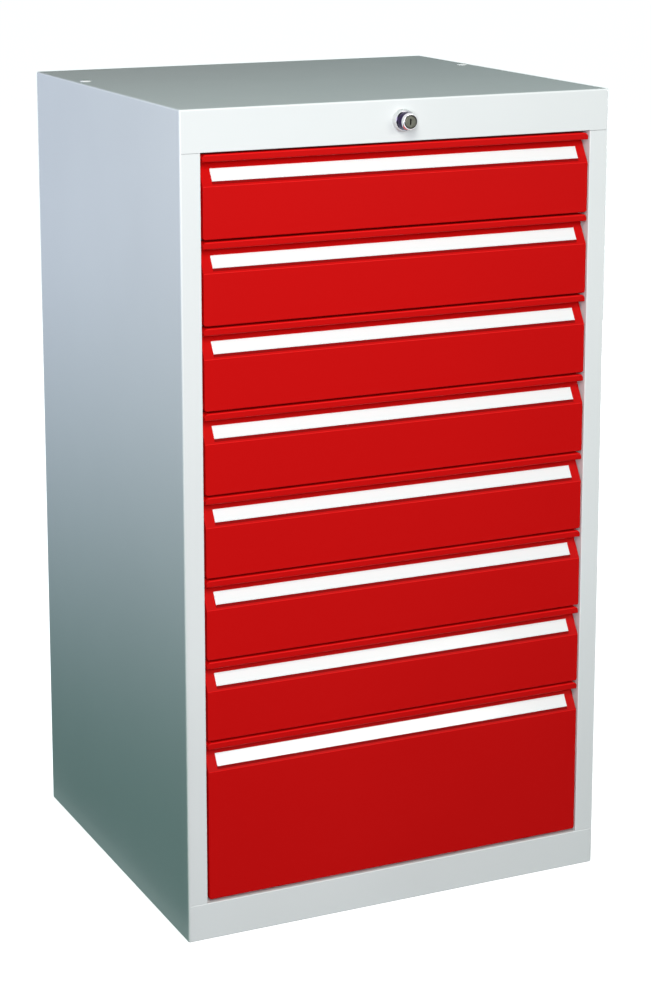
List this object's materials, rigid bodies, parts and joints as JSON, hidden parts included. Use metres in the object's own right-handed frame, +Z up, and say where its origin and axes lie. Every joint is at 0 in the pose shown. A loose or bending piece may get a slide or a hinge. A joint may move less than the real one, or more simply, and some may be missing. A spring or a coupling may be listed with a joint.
{
  "type": "industrial drawer cabinet",
  "caption": "Sheet steel drawer cabinet with full-width drawers on telescopic runners, sloping grips with label strips, and a push lock in the top rail.",
  "frame": {"origin": "on the floor, in the middle of the housing's footprint", "axes": "+Z up, +Y to the back, +X to the right seen from the front; the drawers open towards -Y"},
  "size_m": [0.56, 0.521, 1.0016],
  "materials": {
    "housing_grey": "light grey powder coat, fine satin",
    "front_red": "red powder coat, satin",
    "drawer_grey": "grey powder coat, satin",
    "label_white": "white label under a clear strip",
    "plug_white": "white moulded plug",
    "zinc_steel": "galvanised sheet",
    "runner_steel": "bright zinc plate",
    "buffer_rubber": "matt black",
    "collar_grey": "pale grey moulding",
    "lock_chrome": "polished chrome plate",
    "core_metal": "turned metal"
  },
  "bodies": {
    "cabinet": {"outer_shell": "housing_grey", "bottom_panel": "housing_grey", "floor_support": "zinc_steel", "back_panel": "housing_grey", "top_hole_plugs": "plug_white", "runner_uprights_left": "zinc_steel", "runner_uprights_right": "zinc_steel", "fixed_runners_left": "runner_steel", "fixed_runners_right": "runner_steel", "runner_buffers": "buffer_rubber", "lock_collar": "collar_grey", "lock_housing": "lock_chrome", "lock_nut": "zinc_steel", "rod_brackets": "zinc_steel", "bar_guides": "zinc_steel"},
    "lock_barrel": {"lock_barrel": "lock_chrome", "push_rod": "zinc_steel"},
    "lock_core": {"lock_core": "core_metal"},
    "locking_bar": {"locking_bar": "zinc_steel", "bar_hooks": "zinc_steel"},
    "drawer_1": {"drawer_1_front": "front_red", "drawer_1_box": "drawer_grey", "drawer_1_label_strip": "label_white", "drawer_1_runners": "runner_steel"},
    "drawer_1_middle": {"drawer_1_middle_runners": "runner_steel"},
    "drawer_2": {"drawer_2_front": "front_red", "drawer_2_box": "drawer_grey", "drawer_2_label_strip": "label_white", "drawer_2_runners": "runner_steel"},
    "drawer_2_middle": {"drawer_2_middle_runners": "runner_steel"},
    "drawer_3": {"drawer_3_front": "front_red", "drawer_3_box": "drawer_grey", "drawer_3_label_strip": "label_white", "drawer_3_runners": "runner_steel"},
    "drawer_3_middle": {"drawer_3_middle_runners": "runner_steel"},
    "drawer_4": {"drawer_4_front": "front_red", "drawer_4_box": "drawer_grey", "drawer_4_label_strip": "label_white", "drawer_4_runners": "runner_steel"},
    "drawer_4_middle": {"drawer_4_middle_runners": "runner_steel"},
    "drawer_5": {"drawer_5_front": "front_red", "drawer_5_box": "drawer_grey", "drawer_5_label_strip": "label_white", "drawer_5_runners": "runner_steel"},
    "drawer_5_middle": {"drawer_5_middle_runners": "runner_steel"},
    "drawer_6": {"drawer_6_front": "front_red", "drawer_6_box": "drawer_grey", "drawer_6_label_strip": "label_white", "drawer_6_runners": "runner_steel"},
    "drawer_6_middle": {"drawer_6_middle_runners": "runner_steel"},
    "drawer_7": {"drawer_7_front": "front_red", "drawer_7_box": "drawer_grey", "drawer_7_label_strip": "label_white", "drawer_7_runners": "runner_steel"},
    "drawer_7_middle": {"drawer_7_middle_runners": "runner_steel"},
    "drawer_8": {"drawer_8_front": "front_red", "drawer_8_box": "drawer_grey", "drawer_8_label_strip": "label_white", "drawer_8_runners": "runner_steel"},
    "drawer_8_middle": {"drawer_8_middle_runners": "runner_steel"}
  },
  "joints": [
    {"name": "barrel_push", "type": "slide", "parent": "cabinet", "child": "lock_barrel", "axis": [0, 1, 0], "range_m": [0, 0.01]},
    {"name": "key_turn", "type": "hinge", "parent": "lock_barrel", "child": "lock_core", "pos_m": [0, -0.271, 0.975], "axis": [0, 1, 0], "range_deg": [0, 90]},
    {"name": "bar_lift", "type": "slide", "parent": "cabinet", "child": "locking_bar", "axis": [0, 0, 1], "range_m": [0, 0.01]},
    {"name": "drawer_1_slide", "type": "slide", "parent": "cabinet", "child": "drawer_1", "axis": [0, -1, 0], "range_m": [0, 0.43]},
    {"name": "drawer_1_runner", "type": "slide", "parent": "cabinet", "child": "drawer_1_middle", "axis": [0, -1, 0], "range_m": [0, 0.215]},
    {"name": "drawer_2_slide", "type": "slide", "parent": "cabinet", "child": "drawer_2", "axis": [0, -1, 0], "range_m": [0, 0.43]},
    {"name": "drawer_2_runner", "type": "slide", "parent": "cabinet", "child": "drawer_2_middle", "axis": [0, -1, 0], "range_m": [0, 0.215]},
    {"name": "drawer_3_slide", "type": "slide", "parent": "cabinet", "child": "drawer_3", "axis": [0, -1, 0], "range_m": [0, 0.43]},
    {"name": "drawer_3_runner", "type": "slide", "parent": "cabinet", "child": "drawer_3_middle", "axis": [0, -1, 0], "range_m": [0, 0.215]},
    {"name": "drawer_4_slide", "type": "slide", "parent": "cabinet", "child": "drawer_4", "axis": [0, -1, 0], "range_m": [0, 0.43]},
    {"name": "drawer_4_runner", "type": "slide", "parent": "cabinet", "child": "drawer_4_middle", "axis": [0, -1, 0], "range_m": [0, 0.215]},
    {"name": "drawer_5_slide", "type": "slide", "parent": "cabinet", "child": "drawer_5", "axis": [0, -1, 0], "range_m": [0, 0.43]},
    {"name": "drawer_5_runner", "type": "slide", "parent": "cabinet", "child": "drawer_5_middle", "axis": [0, -1, 0], "range_m": [0, 0.215]},
    {"name": "drawer_6_slide", "type": "slide", "parent": "cabinet", "child": "drawer_6", "axis": [0, -1, 0], "range_m": [0, 0.43]},
    {"name": "drawer_6_runner", "type": "slide", "parent": "cabinet", "child": "drawer_6_middle", "axis": [0, -1, 0], "range_m": [0, 0.215]},
    {"name": "drawer_7_slide", "type": "slide", "parent": "cabinet", "child": "drawer_7", "axis": [0, -1, 0], "range_m": [0, 0.43]},
    {"name": "drawer_7_runner", "type": "slide", "parent": "cabinet", "child": "drawer_7_middle", "axis": [0, -1, 0], "range_m": [0, 0.215]},
    {"name": "drawer_8_slide", "type": "slide", "parent": "cabinet", "child": "drawer_8", "axis": [0, -1, 0], "range_m": [0, 0.43]},
    {"name": "drawer_8_runner", "type": "slide", "parent": "cabinet", "child": "drawer_8_middle", "axis": [0, -1, 0], "range_m": [0, 0.215]}
  ],
  "couplings": [
    {"joint": "bar_lift", "follows": "barrel_push", "ratio": 1},
    {"joint": "drawer_1_runner", "follows": "drawer_1_slide", "ratio": 0.5},
    {"joint": "drawer_2_runner", "follows": "drawer_2_slide", "ratio": 0.5},
    {"joint": "drawer_3_runner", "follows": "drawer_3_slide", "ratio": 0.5},
    {"joint": "drawer_4_runner", "follows": "drawer_4_slide", "ratio": 0.5},
    {"joint": "drawer_5_runner", "follows": "drawer_5_slide", "ratio": 0.5},
    {"joint": "drawer_6_runner", "follows": "drawer_6_slide", "ratio": 0.5},
    {"joint": "drawer_7_runner", "follows": "drawer_7_slide", "ratio": 0.5},
    {"joint": "drawer_8_runner", "follows": "drawer_8_slide", "ratio": 0.5}
  ]
}
